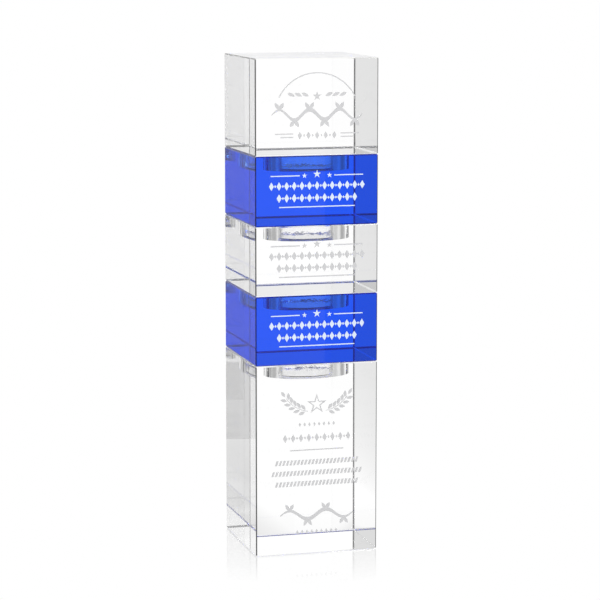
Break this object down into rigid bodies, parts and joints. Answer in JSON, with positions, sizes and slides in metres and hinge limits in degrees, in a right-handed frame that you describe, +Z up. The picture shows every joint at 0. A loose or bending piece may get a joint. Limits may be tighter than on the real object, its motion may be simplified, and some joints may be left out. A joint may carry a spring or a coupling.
{
  "type": "column trophy",
  "caption": "Square optical-crystal column award: a tall clear base with clear and cobalt-blue blocks stacked on round locating discs, fronts engraved with stars and a laurel.",
  "frame": {"origin": "middle of the base column's underside, on the surface it stands on", "axes": "+Z up along the column, the engraved front faces look along -Y, +X to the right of someone facing the front"},
  "size_m": [0.06, 0.06, 0.2369],
  "materials": {
    "clear_crystal": "polished clear optical crystal",
    "blue_crystal": "polished cobalt-blue optical crystal",
    "clear_disc": "polished clear optical crystal",
    "bond_film": "clear cured adhesive",
    "frosted_on_clear": "sandblasted and frosted",
    "frosted_on_blue": "sandblasted and frosted"
  },
  "bodies": {
    "base": {"base_column": "clear_crystal", "base_engraving": "frosted_on_clear"},
    "lower_blue_carrier": {"lower_blue_disc": "clear_disc", "lower_blue_bond_film": "bond_film"},
    "lower_blue": {"lower_blue_block": "blue_crystal", "lower_blue_engraving": "frosted_on_blue"},
    "middle_clear_carrier": {"middle_clear_disc": "clear_disc", "middle_clear_bond_film": "bond_film"},
    "middle_clear": {"middle_clear_block": "clear_crystal", "middle_clear_engraving": "frosted_on_clear"},
    "upper_blue_carrier": {"upper_blue_disc": "clear_disc", "upper_blue_bond_film": "bond_film"},
    "upper_blue": {"upper_blue_block": "blue_crystal", "upper_blue_engraving": "frosted_on_blue"},
    "top_carrier": {"top_disc": "clear_disc", "top_bond_film": "bond_film"},
    "top": {"top_block": "clear_crystal", "top_engraving": "frosted_on_clear"}
  },
  "joints": [
    {"name": "lower_blue_lift", "type": "slide", "parent": "base", "child": "lower_blue_carrier", "axis": [0, 0, 1], "range_m": [0, 0.03]},
    {"name": "lower_blue_swivel", "type": "hinge", "parent": "lower_blue_carrier", "child": "lower_blue", "pos_m": [0, 0, 0.0921], "axis": [0, 0, 1], "continuous": true},
    {"name": "middle_clear_lift", "type": "slide", "parent": "lower_blue", "child": "middle_clear_carrier", "axis": [0, 0, 1], "range_m": [0, 0.03]},
    {"name": "middle_clear_swivel", "type": "hinge", "parent": "middle_clear_carrier", "child": "middle_clear", "pos_m": [0, 0, 0.1252], "axis": [0, 0, 1], "continuous": true},
    {"name": "upper_blue_lift", "type": "slide", "parent": "middle_clear", "child": "upper_blue_carrier", "axis": [0, 0, 1], "range_m": [0, 0.03]},
    {"name": "upper_blue_swivel", "type": "hinge", "parent": "upper_blue_carrier", "child": "upper_blue", "pos_m": [0, 0, 0.1583], "axis": [0, 0, 1], "continuous": true},
    {"name": "top_lift", "type": "slide", "parent": "upper_blue", "child": "top_carrier", "axis": [0, 0, 1], "range_m": [0, 0.03]},
    {"name": "top_swivel", "type": "hinge", "parent": "top_carrier", "child": "top", "pos_m": [0, 0, 0.1914], "axis": [0, 0, 1], "continuous": true}
  ]
}
